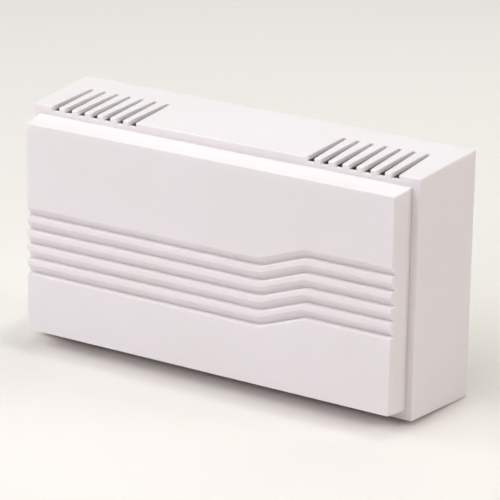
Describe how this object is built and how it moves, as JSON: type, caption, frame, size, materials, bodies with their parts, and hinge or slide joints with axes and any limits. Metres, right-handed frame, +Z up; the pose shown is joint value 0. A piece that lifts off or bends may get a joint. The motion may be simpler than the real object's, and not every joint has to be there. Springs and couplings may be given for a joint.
{
  "type": "doorbell chime box",
  "caption": "Wired door chime: white moulded cover with a raised grooved front and slotted top, pulling off a wall base that carries solenoid strikers between hanging tone bars.",
  "frame": {"origin": "middle of the base's wall face", "axes": "+X to the right as seen from the room, +Y into the wall, +Z up"},
  "size_m": [0.2032, 0.0572, 0.1134],
  "materials": {
    "cover_abs": "satin moulded white",
    "base_abs": "satin moulded off-white",
    "bar_steel": "rolled and lacquered",
    "yoke_steel": "zinc plated, yellow passivated",
    "core_steel": "turned",
    "spring_steel": "drawn wire",
    "screw_steel": "zinc plated",
    "rubber": "moulded black",
    "nylon": "natural",
    "copper": "enamelled copper wire",
    "tape": "polyester film",
    "felt": "pressed wool",
    "phenolic": "moulded cream",
    "brass": "stamped",
    "front_wire": "insulated wire, red",
    "rear_wire": "insulated wire, green"
  },
  "bodies": {
    "base": {"base_plate": "base_abs", "left_tone_bar": "bar_steel", "right_tone_bar": "bar_steel", "left_grommets": "rubber", "right_grommets": "rubber", "hanger_pins": "nylon", "pin_clips": "spring_steel", "front_bobbin": "nylon", "rear_bobbin": "nylon", "front_winding": "copper", "rear_winding": "copper", "front_tape": "tape", "rear_tape": "tape", "front_yoke": "yoke_steel", "rear_yoke": "yoke_steel", "chassis_screws": "screw_steel", "block_screws": "screw_steel", "front_spring": "spring_steel", "rear_spring": "spring_steel", "return_felt": "felt", "terminal_block": "phenolic", "terminal_plates": "brass", "terminal_clamps": "brass", "terminal_screws": "brass", "front_leads": "front_wire", "rear_leads": "rear_wire"},
    "cover": {"cover": "cover_abs"},
    "front_plunger": {"front_core": "core_steel", "front_low_striker": "nylon", "front_high_striker": "nylon", "front_spring_clip": "spring_steel"},
    "rear_plunger": {"rear_core": "core_steel", "rear_high_striker": "nylon", "rear_tail": "nylon", "rear_spring_clip": "spring_steel"}
  },
  "joints": [
    {"name": "cover_pull", "type": "slide", "parent": "base", "child": "cover", "axis": [0, -1, 0], "range_m": [0, 0.065]},
    {"name": "front_plunger_slide", "type": "slide", "parent": "base", "child": "front_plunger", "axis": [1, 0, 0], "range_m": [-0.003, 0.01], "stiffness_N_per_m": 60, "deforming": ["front_spring"]},
    {"name": "rear_plunger_slide", "type": "slide", "parent": "base", "child": "rear_plunger", "axis": [1, 0, 0], "range_m": [0, 0.01], "stiffness_N_per_m": 60, "springref_m": -0.003, "deforming": ["rear_spring"]}
  ]
}
